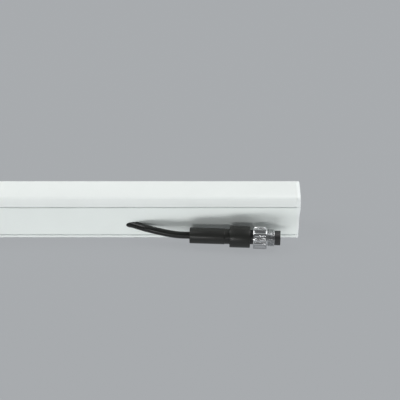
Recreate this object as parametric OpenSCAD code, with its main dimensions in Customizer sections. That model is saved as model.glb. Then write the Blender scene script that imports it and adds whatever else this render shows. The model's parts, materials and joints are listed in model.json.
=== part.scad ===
// Sealed LED strip batten with a short cable tail and an M12 style plug.
// X runs along the batten, -Y is the cable side, Z is up and Z = 0 is the underside.

/* [Batten] */
// Overall length over the end caps
body_l = 500; // [400:1:1000]
// Overall width
body_w = 20; // [20:0.1:22]
// Overall height
body_h = 35; // [34.5:0.1:38]
// Wall thickness of the extruded housing
wall = 1.6; // [1.4:0.1:1.6]

/* [Layers] */
// Thickness of the base plate
base_t = 2.0; // [1.8:0.1:2.2]
// Thickness of the base gasket
base_gasket_t = 0.6; // [0.4:0.1:0.8]
// Height of the seam under the diffuser
seam_z = 25.4; // [25.4:0.1:26]
// Thickness of the diffuser gaskets
seam_t = 0.8; // [0.6:0.1:0.9]
// How far the gaskets sit back from the outer faces
gasket_inset = 0.45; // [0.3:0.05:0.6]

/* [Diffuser] */
// Wall thickness of the diffuser
diffuser_t = 1.8; // [1.5:0.1:2]
// Radius of the crowned top
crown_r = 40; // [35:1:60]
// Radius between the crown and the sides
corner_r = 2.5; // [2.2:0.1:3]

/* [End caps] */
// Thickness of the upper part of each end cap
cap_t = 2.0; // [1.9:0.1:2.2]
// Step back of the lower part of each end cap
cap_step = 0.5; // [0.3:0.1:0.6]
// Thickness of the end gaskets
end_gasket_t = 0.5; // [0.4:0.1:0.6]

/* [Light source] */
// Distance from LED to LED
led_pitch = 16.5; // [16:0.5:20]
// Width of the LED boards
board_w = 12; // [11:0.5:12]

/* [Cable and plug] */
// Distance of the cable outlet from the right-hand end
outlet_from_end = 111.6; // [105:0.1:120]
// Angle between the cable and the wall where it leaves
outlet_angle = 26; // [24:1:28]
// Height of the cable where it leaves
outlet_z = 10.9; // [10.8:0.1:11]
// Cable diameter
cable_d = 4.8; // [4.6:0.1:4.8]
// Outward turn of the plug, away from the wall
plug_yaw = 2.8; // [2:0.1:4]
// Diameter of the slim sleeve of the plug
boot_d = 10.8; // [10:0.1:11]
// Diameter of the plug's grip
grip_d = 14.6; // [13:0.1:15]
// Diameter of the coupling ring
ring_d = 15.6; // [15:0.1:15.6]
// Number of flutes on the coupling ring
ring_flutes = 14; // [12:1:20]

/* [Mounting] */
// Distance between the two threaded mounting nuts
mount_spacing = 400; // [300:1:400]

/* [Hidden] */
$fn = 48;

// Clearances: a moving fit, a screw in its hole, and the overlap used when cutting
run_gap = 0.05;
screw_gap = 0.03;
seat_gap = 0.1;
cut = 1;

// Section heights of the housing
half_w = body_w / 2;
inner_half = half_w - wall;
housing_z = base_t + base_gasket_t;
flange_top = housing_z + 4.4;
slot_half = 5.2;
shelf_z = 18.8;
shelf_top = 20.8;
diffuser_z = seam_z + seam_t;
edge_chamfer = 0.35;

// Rails that hold the driver board, and ribs that the diffuser snaps under
rail_z = flange_top + 1.9;
rail_h = 0.8;
rail_depth = 1.4;
rib_z = 23.2;
rib_h = 1;
rib_depth = 0.7;

// Diffuser legs
leg_out = inner_half - 0.9;
leg_t = 1.3;
leg_z = shelf_top + 0.8;
barb_h = 1.4;
foot_h = 1.6;

// Centre of the corner arc, tangent to the crown and to the side
corner_y = half_w - corner_r;
crown_z = body_h - crown_r;
corner_z = crown_z + sqrt(pow(crown_r - corner_r, 2) - pow(corner_y, 2));

// Ends
body_end = body_l / 2 - cap_t - end_gasket_t;
cap_in = body_l / 2 - cap_t;
cap_out = body_l / 2 - cap_step;
step_low_z = 19;
step_high_z = 23;
end_gasket_inset = 0.15;

// Pressure vent in the left end cap
vent_z = flange_top + 3.6;
vent_r = 2.6;
vent_head_r = 3.8;
vent_depth = 3;
vent_barb = 0.4;

// Screws: M2.5 countersunk and M2 pan head, with their hexagon sockets
screw_r = 1.22;
head_r = 2.1;
head_h = 1.1;
sunk = 0.05;
socket_r = 0.85;
socket_depth = 0.7;
small_r = 0.96;
small_head_r = 1.9;
small_head_h = 1.3;
small_socket_r = 0.8;
small_socket_depth = 0.8;
tip_gap = 0.2;
port_r = 2;
port_y = 6.6;
port_z = 16.6;
low_y = 7.4;
low_z = housing_z + 2.3;
end_screw_points = [[-low_y, low_z], [low_y, low_z], [-port_y, port_z], [port_y, port_z]];
end_screw_l = 12;
base_screw_l = 6.4;
block_screw_l = 7.8;
clamp_screw_l = 4.4;
flange_screw_y = 7;
base_stations = 6;
base_screw_span = body_l - 38;

// Mounting nuts, M4
nut_r = 4;
nut_h = 2.6;
nut_spigot_r = 2.8;
nut_bore_r = 1.65;

// LED boards
pad_t = 0.5;
board_t = 1.6;
board_z = shelf_top + pad_t;
board_top = board_z + board_t;
board_gap = 0.3;
leds_per_board = floor((body_l / 2 - 2.5) / led_pitch);
board_l = leds_per_board * led_pitch - 2 * board_gap;
led_w = 5;
led_h = 1.6;
led_cup_r = 1.9;
led_cup_depth = 0.4;
link_size = [8, 5, 1.4];
wire_hole_r = 2.2;
board_screw_steps = [2, round(leds_per_board / 2), leds_per_board - 1];

// Cable outlet
outlet_pos = [body_l / 2 - outlet_from_end, -half_w, outlet_z];
outlet_dir = [cos(outlet_angle), -sin(outlet_angle), 0];
cable_r = cable_d / 2;
lip_r = cable_r + 0.2;
seal_r = cable_r + 1;
seal_from = -15;
seal_to = -11;
face_gap = 0.02;
tail_from = -31;
tail_to = -8;
clamp_at = -22;
clamp_l = 9;
clamp_half = 6.2;
clamp_screw_y = 4.1;

// Outlet block
block_x0 = outlet_pos.x - 26.4;
block_x1 = outlet_pos.x + 13.6;
block_top = 14.5;
block_screws = [[block_x0 + 2, -flange_screw_y], [block_x1 - 4, -flange_screw_y],
    [block_x0 + 12, flange_screw_y], [block_x1 - 4, flange_screw_y]];

// Route of the free cable, from the outlet point
cable_route = [[-7.2, 3.5, 0], [-3.6, 1.75, 0], [0, 0, 0], [3.2, -1.55, 0],
    [6.4, -3.05, 0], [9.6, -4.2, -0.15], [12.8, -5.1, -0.45], [16, -5.8, -0.85],
    [19.2, -6.35, -1.3], [22.4, -6.75, -1.8], [25.6, -7.05, -2.25], [28.8, -7.25, -2.6],
    [32, -7.35, -2.8], [34.6, -7.42, -2.87], [37.2, -7.5, -2.9], [40.2, -7.65, -2.9]];
plug_pos = outlet_pos + [37.2, -7.5, -2.9];

// Stations along the plug, from the back of its sleeve
plug_entry = 3;
boot_waist = 23.4;
boot_end = 26.9;
spigot_end = 31;
cable_stop = 28;
carrier_start = 34;
grip_end = 40.7;
neck_end = 42.6;
groove_end = 44.4;
ring_start = 42.7;
thread_start = 51.9;
thread_end = 57;
tip_end = 61;
pin_start = 36;
pin_end = 58;
cavity_start = 50;

// Radii of the plug
grip_r = grip_d / 2;
boot_r = boot_d / 2;
waist = 0.25;
spigot_r = 3.4;
neck_r = 4.8;
groove_r = 4.4;
carrier_r = 4.95;
shroud_t = 0.8;
ring_r = ring_d / 2;
flute_r = 1.3;
flute_depth = 0.55;
flute_margin = 0.9;
thread_r = 6;
pin_circle_r = 2.5;
pin_r = 0.5;
pins = 4;
core_r = 0.6;

// Driver board, to the left of the outlet block
driver_x1 = block_x0 - 20;
driver_x0 = driver_x1 - 110;
driver_z = flange_top + 0.1;
driver_half = inner_half - 0.2;
driver_top = driver_z + board_t;
wire_x = -led_pitch;
terminal_pitch = 3.5;
terminal_l = 7;
terminal_h = 5.6;
entry_z = driver_top + 2.6;
inductor_size = [8, 8, 5];
capacitor_r = 3.15;
capacitor_h = 7;
chip_size = [5, 6, 1.5];

// Cores of the cable
tail_end = outlet_pos + tail_from * outlet_dir;
core_colours = ["saddlebrown", "white", "royalblue", "black"];

// ---------- helpers ----------

function unit(v) = v / norm(v);

function heading(path, i) =
    unit(path[min(i + 1, len(path) - 1)] - path[max(i - 1, 0)]);

function ring_points(path, i, r, sides, up) =
    let (t = heading(path, i), a = unit(cross(up, t)), b = cross(t, a))
    [for (k = [0:sides - 1]) path[i] + r * (cos(360 * k / sides) * a + sin(360 * k / sides) * b)];

// A round cable swept along a path; up is any direction the path never takes
module tube(path, r, sides, up) {
    last = len(path) - 1;
    points = [for (i = [0:last]) each ring_points(path, i, r, sides, up)];
    walls = [for (i = [0:last - 1], k = [0:sides - 1])
        [i * sides + k, (i + 1) * sides + k,
         (i + 1) * sides + (k + 1) % sides, i * sides + (k + 1) % sides]];
    caps = [[for (k = [0:sides - 1]) k],
            [for (k = [sides - 1:-1:0]) last * sides + k]];
    polyhedron(points = points, faces = concat(walls, caps));
}

// Extrude a section drawn in Y and Z from x0 to x1
module along_x(x0, x1) {
    translate([x0, 0, 0]) rotate([90, 0, 90]) linear_extrude(x1 - x0) children();
}

module both_sides() {
    children();
    mirror([1, 0]) children();
}

module rect(y0, z0, y1, z1) {
    translate([y0, z0]) square([y1 - y0, z1 - z0]);
}

function arc(centre, r, a0, a1, steps, first) = [for (i = [first:steps])
    centre + r * [cos(a0 + (a1 - a0) * i / steps), sin(a0 + (a1 - a0) * i / steps)]];

// Outline of the batten with the crowned top, drawn in by inset
module crown_outline(inset, z0) {
    meet = atan2(corner_z - crown_z, corner_y);
    polygon(concat([[-half_w + inset, z0], [half_w - inset, z0]],
        arc([corner_y, corner_z], corner_r - inset, 0, meet, 12, 0),
        arc([0, crown_z], crown_r - inset, meet, 180 - meet, 24, 1),
        arc([-corner_y, corner_z], corner_r - inset, 180 - meet, 180, 12, 1)));
}

// Countersunk screw, head face at Z = 0 and shank towards -Z
module csk_screw(l) {
    difference() {
        union() {
            translate([0, 0, -head_h]) cylinder(r1 = screw_r, r2 = head_r, h = head_h);
            translate([0, 0, -l]) cylinder(r = screw_r, h = l - head_h);
        }
        translate([0, 0, -socket_depth]) cylinder(r = socket_r, h = cut, $fn = 6);
    }
}

module csk_hole(l) {
    translate([0, 0, -head_h])
        cylinder(r1 = screw_r + seat_gap, r2 = head_r + seat_gap, h = head_h);
    translate([0, 0, -0.01]) cylinder(r = head_r + seat_gap, h = cut);
    translate([0, 0, -l]) cylinder(r = screw_r + screw_gap, h = l);
}

// Pan head screw, seat at Z = 0 and shank towards -Z
module pan_screw(l) {
    difference() {
        union() {
            cylinder(r = small_head_r, h = small_head_h);
            translate([0, 0, -l]) cylinder(r = small_r, h = l + 0.1);
        }
        translate([0, 0, small_head_h - small_socket_depth])
            cylinder(r = small_socket_r, h = cut, $fn = 6);
    }
}

// Places children at a distance t along the outlet axis, with Z on that axis
module on_outlet(t) {
    translate(outlet_pos + t * outlet_dir) rotate([0, 90, -outlet_angle]) children();
}

// Places children s along the plug axis, with Z on that axis
module on_plug(s) {
    translate(plug_pos) rotate([0, 90, -plug_yaw]) translate([0, 0, s]) children();
}

module at_end_screws() {
    for (p = end_screw_points) translate([cap_out, p.x, p.y]) rotate([0, 90, 0]) children();
}

module at_base_screws() {
    for (i = [0:base_stations], y = [-flange_screw_y, flange_screw_y])
        translate([(i / base_stations - 0.5) * base_screw_span, y, 0])
            rotate([180, 0, 0]) children();
}

module at_block_screws() {
    for (p = block_screws) translate([p.x, p.y, housing_z]) rotate([180, 0, 0]) children();
}

module at_board_screws() {
    for (side = [-1, 1], n = board_screw_steps)
        translate([side * n * led_pitch, 0, board_top]) children();
}

module at_leds() {
    for (side = [-1, 1], n = [0:leds_per_board - 1])
        translate([side * (n + 0.5) * led_pitch, 0, board_top]) children();
}

// ---------- housing ----------

module housing_section() {
    difference() {
        polygon([[-half_w + edge_chamfer, housing_z], [half_w - edge_chamfer, housing_z],
            [half_w, housing_z + edge_chamfer], [half_w, seam_z - edge_chamfer],
            [half_w - edge_chamfer, seam_z], [-half_w + edge_chamfer, seam_z],
            [-half_w, seam_z - edge_chamfer], [-half_w, housing_z + edge_chamfer]]);
        rect(-inner_half, shelf_top, inner_half, seam_z + cut);
        rect(-inner_half, flange_top, inner_half, shelf_z);
        rect(-slot_half, housing_z - cut, slot_half, flange_top + cut);
    }
    both_sides() {
        rect(inner_half - rail_depth, rail_z, inner_half + 0.1, rail_z + rail_h);
        rect(inner_half - rib_depth, rib_z, inner_half + 0.1, rib_z + rib_h);
        rect(port_y - 1.2, port_z, port_y + 1.2, shelf_z + 0.1);
        translate([port_y, port_z]) circle(port_r);
    }
}

module housing() {
    color("whitesmoke") difference() {
        along_x(-body_end, body_end) housing_section();
        // milled pocket that takes the outlet block
        translate([block_x0 - 2, -inner_half, flange_top])
            cube([block_x1 - block_x0 + 4, 2 * inner_half, block_top - flange_top]);
        // oblique hole for the cable
        on_outlet(-12) cylinder(r = lip_r + screw_gap, h = 24);
        for (m = [0, 1]) mirror([m, 0, 0]) at_end_screws() csk_hole(end_screw_l + tip_gap);
        at_base_screws() csk_hole(base_screw_l + tip_gap);
        at_block_screws() csk_hole(block_screw_l + tip_gap);
        at_board_screws() translate([0, 0, -6]) cylinder(r = small_r + screw_gap, h = 6);
        translate([wire_x, 0, shelf_z - cut]) cylinder(r = wire_hole_r, h = 4);
    }
}

module base_plate() {
    color("gainsboro") difference() {
        along_x(-body_end, body_end)
            polygon([[-half_w + edge_chamfer, 0], [half_w - edge_chamfer, 0],
                [half_w, edge_chamfer], [half_w, base_t], [-half_w, base_t],
                [-half_w, edge_chamfer]]);
        at_base_screws() csk_hole(base_t + cut);
        for (x = [-1, 1] * mount_spacing / 2)
            translate([x, 0, -cut]) cylinder(r = nut_spigot_r + screw_gap, h = base_t + 2 * cut);
    }
}

module base_gasket() {
    color("darkgray") difference() {
        along_x(-body_end, body_end)
            rect(-half_w + gasket_inset, base_t, half_w - gasket_inset, housing_z);
        translate([-body_end + 4, -slot_half, 0]) cube([2 * body_end - 8, 2 * slot_half, 10]);
        at_base_screws() csk_hole(housing_z + cut);
    }
}

module mount_nuts() {
    color("silver") for (x = [-1, 1] * mount_spacing / 2) translate([x, 0, 0]) difference() {
        union() {
            translate([0, 0, 0.1]) cylinder(r = nut_spigot_r, h = base_t);
            translate([0, 0, base_t]) cylinder(r = nut_r, h = nut_h);
        }
        translate([0, 0, -cut]) cylinder(r = nut_bore_r, h = base_t + nut_h + 2 * cut);
    }
}

module base_screws() {
    color("silver") at_base_screws() translate([0, 0, -sunk]) csk_screw(base_screw_l);
}

// ---------- diffuser ----------

module diffuser() {
    color("white") along_x(-body_end, body_end) {
        difference() {
            crown_outline(0, diffuser_z);
            crown_outline(diffuser_t, diffuser_z - cut);
        }
        both_sides() {
            rect(leg_out - leg_t, diffuser_z, half_w - 0.1, diffuser_z + foot_h);
            rect(leg_out - leg_t, leg_z, leg_out, diffuser_z + 0.1);
            polygon([[leg_out - 0.1, leg_z], [leg_out, leg_z],
                [leg_out + 0.6, leg_z + barb_h], [leg_out - 0.1, leg_z + barb_h]]);
        }
    }
}

module diffuser_gaskets() {
    color("silver") along_x(-body_end, body_end) both_sides()
        rect(inner_half + 0.1, seam_z, half_w - gasket_inset, diffuser_z);
}

// ---------- ends ----------

module end_cap() {
    difference() {
        along_x(cap_in, body_l / 2) crown_outline(0, 0);
        rotate([90, 0, 0]) linear_extrude(body_w + 2 * cut, center = true)
            polygon([[cap_out, -cut], [body_l / 2 + cut, -cut],
                [body_l / 2 + cut, step_high_z], [body_l / 2, step_high_z],
                [cap_out, step_low_z]]);
        at_end_screws() csk_hole(cap_t + cut);
        shadow_line(seam_z, diffuser_z);
        shadow_line(base_t, housing_z);
    }
}

// Groove that carries the line of a gasket round the end cap
module shadow_line(z0, z1) {
    difference() {
        translate([cap_in - cut, -half_w - cut, z0])
            cube([cap_t + 2 * cut, body_w + 2 * cut, z1 - z0]);
        translate([cap_in - 2 * cut, -half_w + gasket_inset, z0 - cut])
            cube([cap_t + 2 * cut - gasket_inset, body_w - 2 * gasket_inset, z1 - z0 + 2 * cut]);
    }
}

module end_gasket() {
    difference() {
        along_x(body_end, cap_in) crown_outline(end_gasket_inset, end_gasket_inset);
        along_x(body_end - cut, cap_in + cut)
            rect(-slot_half + 1, flange_top, slot_half - 1, block_top);
        at_end_screws() csk_hole(cap_t + cut);
    }
}

module end_screws() {
    at_end_screws() translate([0, 0, -sunk]) csk_screw(end_screw_l);
}

module end_cap_right() {
    color("whitesmoke") end_cap();
}

module end_cap_left() {
    color("whitesmoke") difference() {
        mirror([1, 0, 0]) end_cap();
        translate([-body_l / 2 - cut, 0, vent_z]) rotate([0, 90, 0])
            cylinder(r = vent_r + screw_gap, h = cap_t + 2 * cut);
    }
}

module end_gasket_right() {
    color("white") end_gasket();
}

module end_gasket_left() {
    color("white") mirror([1, 0, 0]) end_gasket();
}

module end_screws_right() {
    color("silver") end_screws();
}

module end_screws_left() {
    color("silver") mirror([1, 0, 0]) end_screws();
}

// Snap-in pressure vent, flush inside the step of the left end cap
module vent_plug() {
    color("dimgray") translate([-cap_out, 0, vent_z]) rotate([0, -90, 0]) {
        cylinder(r = vent_head_r, h = cap_step - 0.1);
        translate([0, 0, -vent_depth]) {
            cylinder(r = vent_r, h = vent_depth + 0.1);
            cylinder(r1 = vent_r, r2 = vent_r + vent_barb, h = vent_depth / 2);
        }
    }
}

// ---------- light source ----------

module thermal_pads() {
    color("lightgray") difference() {
        for (side = [-1, 1])
            translate([min(side, 0) * (board_l + board_gap) + max(side, 0) * board_gap,
                -board_w / 2, shelf_top]) cube([board_l, board_w, pad_t]);
        at_board_screws() translate([0, 0, -6]) cylinder(r = small_r + screw_gap, h = 6);
        translate([wire_x, 0, shelf_top - cut]) cylinder(r = wire_hole_r, h = 4);
    }
}

module led_board() {
    difference() {
        translate([board_gap, -board_w / 2, board_z]) cube([board_l, board_w, board_t]);
        at_board_screws() translate([0, 0, -6]) cylinder(r = small_r + screw_gap, h = 8);
    }
}

module led_board_right() {
    color("white") led_board();
}

module led_board_left() {
    color("white") difference() {
        mirror([1, 0, 0]) led_board();
        translate([wire_x, 0, board_z - cut]) cylinder(r = wire_hole_r, h = 4);
    }
}

module led_packages() {
    color("ivory") at_leds() difference() {
        translate([-led_w / 2, -led_w / 2, 0]) cube([led_w, led_w, led_h]);
        translate([0, 0, led_h - led_cup_depth]) cylinder(r = led_cup_r, h = cut);
    }
}

module led_phosphors() {
    color("khaki") at_leds() translate([0, 0, led_h - led_cup_depth])
        cylinder(r = led_cup_r - screw_gap, h = led_cup_depth - 0.05);
}

module board_screws() {
    color("silver") at_board_screws() pan_screw(board_top - shelf_z);
}

// Solder bridge connector over the joint between the two boards
module board_link() {
    color("ivory") translate([-link_size.x / 2, -link_size.y / 2, board_top]) cube(link_size);
}

// ---------- driver ----------

module driver_board() {
    color("seagreen") translate([driver_x0, -driver_half, driver_z])
        cube([driver_x1 - driver_x0, 2 * driver_half, board_t]);
}

module driver_inductors() {
    color("dimgray") for (x = [driver_x0 + 40, driver_x0 + 72])
        translate([x - inductor_size.x / 2, -inductor_size.y / 2, driver_top])
            cube(inductor_size);
}

module driver_capacitors() {
    color("navy") for (x = [driver_x0 + 30, driver_x0 + 82, driver_x0 + 90])
        translate([x, 0, driver_top]) cylinder(r = capacitor_r, h = capacitor_h);
}

module driver_chips() {
    color("black") for (x = [driver_x0 + 18, driver_x0 + 52, driver_x0 + 61])
        translate([x - chip_size.x / 2, -chip_size.y / 2, driver_top]) cube(chip_size);
}

// Screw terminal with its wire entries facing +X
module terminal(poles) {
    w = poles * terminal_pitch;
    difference() {
        translate([0, -w / 2, 0]) cube([terminal_l, w, terminal_h]);
        for (i = [0:poles - 1]) translate([0, (i + 0.5) * terminal_pitch - w / 2, 0]) {
            translate([terminal_l - 3, 0, entry_z - driver_top]) rotate([0, 90, 0])
                cylinder(r = core_r + 0.4, h = 3 + cut);
            translate([terminal_l / 2, 0, terminal_h - 0.8]) cylinder(r = 1.1, h = cut);
        }
    }
}

module input_terminal() {
    color("limegreen") translate([driver_x1 - terminal_l, 0, driver_top]) terminal(pins);
}

module output_terminal() {
    color("limegreen") translate([driver_x0 + terminal_l, 0, driver_top])
        mirror([1, 0, 0]) terminal(2);
}

// Four insulated cores from the end of the cable jacket to the input terminal
module core_leads() {
    for (i = [0:pins - 1]) {
        y = (i - 1.5) * terminal_pitch;
        spread = [0, i < 2 ? -0.9 : 0.9, i % 2 == 0 ? 0.9 : -0.9];
        color(core_colours[i]) tube([tail_end + spread, tail_end + [-1.5, 0, 0] + spread,
            [driver_x1 + 4.5, y, entry_z + spread.z / 2], [driver_x1 + 2, y, entry_z],
            [driver_x1 - 2.5, y, entry_z]], core_r, 8, [0, 0, 1]);
    }
}

// Two leads from the output terminal, up through the shelf to the LED board
module led_leads() {
    start = driver_x0 + 2.5;
    for (side = [-1, 1]) color(side < 0 ? "black" : "red") {
        y = side * terminal_pitch / 2;
        tube([[start, y, entry_z], [start - 5, y, entry_z], [wire_x + 3, side, entry_z + 1.5],
            [wire_x, side, entry_z + 5], [wire_x, side, board_top - 1],
            [wire_x, side, board_top + 0.9], [wire_x - 0.6, side, board_top + 1.4]],
            core_r, 8, [0, 1, 0]);
    }
}

// ---------- cable outlet ----------

module clamp_space(extra) {
    centre = outlet_pos + clamp_at * outlet_dir;
    translate([centre.x, centre.y, outlet_z + 0.6 - extra]) rotate([0, 0, -outlet_angle])
        translate([-clamp_l / 2 - extra, -clamp_half - extra, 0])
            cube([clamp_l + 2 * extra, 2 * (clamp_half + extra), 6]);
}

module at_clamp_screws() {
    centre = outlet_pos + clamp_at * outlet_dir;
    translate([centre.x, centre.y, block_top - 1.5]) rotate([0, 0, -outlet_angle])
        for (y = [-clamp_screw_y, clamp_screw_y]) translate([0, y, 0]) children();
}

module outlet_block() {
    gap = 0.05;
    color("dimgray") difference() {
        translate([block_x0, -inner_half + gap, flange_top])
            cube([block_x1 - block_x0, 2 * (inner_half - gap), block_top - flange_top - gap]);
        on_outlet(-40) cylinder(r = cable_r + screw_gap, h = 40);
        on_outlet(seal_from) cylinder(r = seal_r + screw_gap, h = 20);
        clamp_space(gap);
        at_clamp_screws() translate([0, 0, -4.5]) cylinder(r = small_r + screw_gap, h = 6);
        at_block_screws() csk_hole(block_screw_l + tip_gap);
    }
}

module outlet_block_screws() {
    color("silver") at_block_screws() translate([0, 0, -sunk]) csk_screw(block_screw_l);
}

// Silicone seal: a ring in the block and a thin lip that lines the hole in the wall
module cable_seal() {
    color("black") difference() {
        intersection() {
            union() {
                on_outlet(seal_from) cylinder(r = seal_r, h = seal_to - seal_from);
                on_outlet(seal_from) cylinder(r = lip_r, h = 25);
            }
            translate([outlet_pos.x - 40, -half_w + face_gap, 0]) cube([80, body_w, 30]);
        }
        on_outlet(-40) cylinder(r = cable_r, h = 60);
    }
}

module cable_clamp() {
    color("dimgray") difference() {
        intersection() {
            clamp_space(0);
            translate([block_x0, -inner_half, 0])
                cube([block_x1 - block_x0, 2 * inner_half, block_top - 0.05]);
        }
        on_outlet(-40) cylinder(r = cable_r, h = 40);
        at_clamp_screws() {
            translate([0, 0, -4.5]) cylinder(r = small_r + screw_gap, h = 6);
            cylinder(r = small_head_r + 0.1, h = 2);
        }
    }
}

module clamp_screws() {
    color("silver") at_clamp_screws() pan_screw(clamp_screw_l);
}

module cable_tail() {
    color("black") on_outlet(tail_from) cylinder(r = cable_r - 0.01, h = tail_to - tail_from);
}

module cable_free() {
    color("black") tube([for (p = cable_route) outlet_pos + p], cable_r - 0.01, 12, [0, 0, 1]);
}

// ---------- plug ----------

module cable_end() {
    color("black") on_plug(plug_entry) cylinder(r = cable_r - 0.01, h = cable_stop - plug_entry);
}

module plug_boot() {
    color("black") on_plug(0) rotate_extrude() polygon([[cable_r, 0], [boot_r - 0.4, 0],
        [boot_r, 0.4], [boot_r, boot_waist], [boot_r - waist, boot_waist + waist],
        [boot_r - waist, boot_end], [spigot_r, boot_end], [spigot_r, spigot_end],
        [cable_r, spigot_end]]);
}

module plug_body() {
    color("black") on_plug(0) rotate_extrude() polygon([[spigot_r, boot_end],
        [grip_r - 0.6, boot_end], [grip_r, boot_end + 0.6], [grip_r, grip_end - 0.6],
        [grip_r - 0.6, grip_end], [neck_r, grip_end], [neck_r, carrier_start],
        [spigot_r, carrier_start]]);
}

module contact_carrier() {
    color("black") on_plug(0) {
        difference() {
            rotate_extrude() polygon([[0, carrier_start], [neck_r - 0.01, carrier_start],
                [neck_r - 0.01, neck_end], [groove_r, neck_end], [groove_r, groove_end],
                [carrier_r, groove_end], [carrier_r, tip_end - 0.4], [carrier_r - 0.4, tip_end],
                [carrier_r - shroud_t, tip_end], [carrier_r - shroud_t, cavity_start],
                [0, cavity_start]]);
            for (i = [0:pins - 1]) rotate([0, 0, 45 + 90 * i])
                translate([pin_circle_r, 0, carrier_start - cut])
                    cylinder(r = pin_r, h = tip_end - carrier_start);
        }
        // coding key inside the shroud
        translate([-carrier_r + shroud_t - 0.2, -0.5, cavity_start - 0.1])
            cube([0.9, 1, tip_end - cavity_start - 0.9]);
    }
}

module contact_pins() {
    color("gold") on_plug(0) for (i = [0:pins - 1]) rotate([0, 0, 45 + 90 * i])
        translate([pin_circle_r, 0, pin_start]) {
            cylinder(r = pin_r - 0.01, h = pin_end - pin_start - 0.5);
            translate([0, 0, pin_end - pin_start - 0.5])
                cylinder(r1 = pin_r - 0.01, r2 = 0.25, h = 0.5);
        }
}

module plug_cores() {
    on_plug(0) for (i = [0:pins - 1]) color(core_colours[i]) rotate([0, 0, 45 + 90 * i])
        tube([[0.95, 0, cable_stop], [0.95, 0, cable_stop + 1], [1.6, 0, spigot_end],
            [2.4, 0, carrier_start - 1], [pin_circle_r, 0, carrier_start]],
            core_r - 0.02, 8, [0, 1, 0]);
}

module coupling_ring() {
    bore_r = carrier_r + run_gap;
    lip_bore_r = groove_r + run_gap;
    color("silver") on_plug(0) difference() {
        rotate_extrude() polygon([[lip_bore_r, ring_start], [ring_r - 0.5, ring_start],
            [ring_r, ring_start + 0.5], [ring_r, thread_start - 0.5],
            [ring_r - 0.5, thread_start], [thread_r, thread_start],
            [thread_r, thread_end - 0.5], [thread_r - 0.5, thread_end], [bore_r, thread_end],
            [bore_r, groove_end - 0.1], [lip_bore_r, groove_end - 0.1]]);
        for (i = [0:ring_flutes - 1]) rotate([0, 0, 360 * i / ring_flutes])
            translate([ring_r + flute_r - flute_depth, 0, ring_start + flute_margin])
                cylinder(r = flute_r, h = thread_start - ring_start - 2 * flute_margin);
    }
}

base_plate();
base_gasket();
housing();
diffuser();
diffuser_gaskets();
end_cap_left();
end_cap_right();
end_gasket_left();
end_gasket_right();
end_screws_left();
end_screws_right();
base_screws();
mount_nuts();
vent_plug();
led_board_left();
led_board_right();
led_packages();
led_phosphors();
thermal_pads();
board_screws();
board_link();
driver_board();
driver_inductors();
driver_capacitors();
driver_chips();
input_terminal();
output_terminal();
core_leads();
led_leads();
outlet_block();
outlet_block_screws();
cable_seal();
cable_clamp();
clamp_screws();
cable_tail();
cable_free();
cable_end();
plug_boot();
plug_body();
contact_carrier();
contact_pins();
plug_cores();
coupling_ring();
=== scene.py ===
"""Looks of a sealed LED strip batten with a crowned opal diffuser and a plug on a short cable.

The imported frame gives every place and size. This script adds the camera, the free cable, the
visible shells, the turned parts of the plug and the finish of every piece. Lengths are in
metres, apart from those whose names end in _mm.
"""

import json
import logging
import math
from collections.abc import Callable, Iterable, Sequence
from dataclasses import dataclass, field
from enum import Enum

import bmesh
import bpy
from bmesh.types import BMEdge, BMesh, BMVert
from bpy.types import Material, Node, NodeSocket, NodeTree, Object
from mathutils import Matrix, Vector


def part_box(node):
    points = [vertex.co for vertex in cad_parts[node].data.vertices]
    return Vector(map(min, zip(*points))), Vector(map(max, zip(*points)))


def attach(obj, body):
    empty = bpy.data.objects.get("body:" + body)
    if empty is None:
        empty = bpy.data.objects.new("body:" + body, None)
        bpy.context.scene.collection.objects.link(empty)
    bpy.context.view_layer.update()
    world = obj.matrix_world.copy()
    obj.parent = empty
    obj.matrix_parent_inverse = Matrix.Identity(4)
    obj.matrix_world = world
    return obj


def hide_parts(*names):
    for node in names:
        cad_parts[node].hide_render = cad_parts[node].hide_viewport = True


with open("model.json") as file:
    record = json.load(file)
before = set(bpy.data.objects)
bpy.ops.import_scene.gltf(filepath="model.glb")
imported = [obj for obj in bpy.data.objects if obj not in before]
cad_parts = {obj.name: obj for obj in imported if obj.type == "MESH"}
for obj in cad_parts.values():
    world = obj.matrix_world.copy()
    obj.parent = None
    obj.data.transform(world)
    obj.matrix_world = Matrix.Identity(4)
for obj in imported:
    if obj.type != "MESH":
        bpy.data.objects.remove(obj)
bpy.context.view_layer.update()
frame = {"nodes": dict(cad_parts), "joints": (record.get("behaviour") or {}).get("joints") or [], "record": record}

MM = 0.001
NEAR = 1e-6
SHARP_DEG = 32.0
BATTEN = "batten"
RING = "coupling_ring"
LOG = logging.getLogger("batten")


# ---------------------------------------------------------------- shared tools


def linear(hex_colour: str) -> tuple[float, float, float, float]:
    """Turns an sRGB hex colour into linear light.

    Args:
        hex_colour: six hex digits, with or without a leading #.

    Returns:
        Red, green and blue in linear light, and an alpha of 1.
    """
    digits = hex_colour.lstrip("#")
    parts = [int(digits[i : i + 2], 16) / 255 for i in (0, 2, 4)]
    bent = [p / 12.92 if p <= 0.04045 else ((p + 0.055) / 1.055) ** 2.4 for p in parts]
    return (bent[0], bent[1], bent[2], 1.0)


def add_node(
    tree: NodeTree,
    kind: str,
    settings: dict[str | int, object] | None = None,
    links: dict[str | int, NodeSocket] | None = None,
) -> Node:
    """Adds a node, sets it up and links its inputs.

    Args:
        tree: the node tree that gets the node.
        kind: the node's type name.
        settings: values for the node's own properties, or for its inputs by name or index.
        links: for an input's name or index, the socket that feeds it.

    Returns:
        The new node.
    """
    node = tree.nodes.new(kind)
    for key, value in (settings or {}).items():
        if isinstance(key, str) and hasattr(node, key):
            setattr(node, key, value)
        else:
            node.inputs[key].default_value = value
    for key, socket in (links or {}).items():
        tree.links.new(socket, node.inputs[key])
    return node


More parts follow.
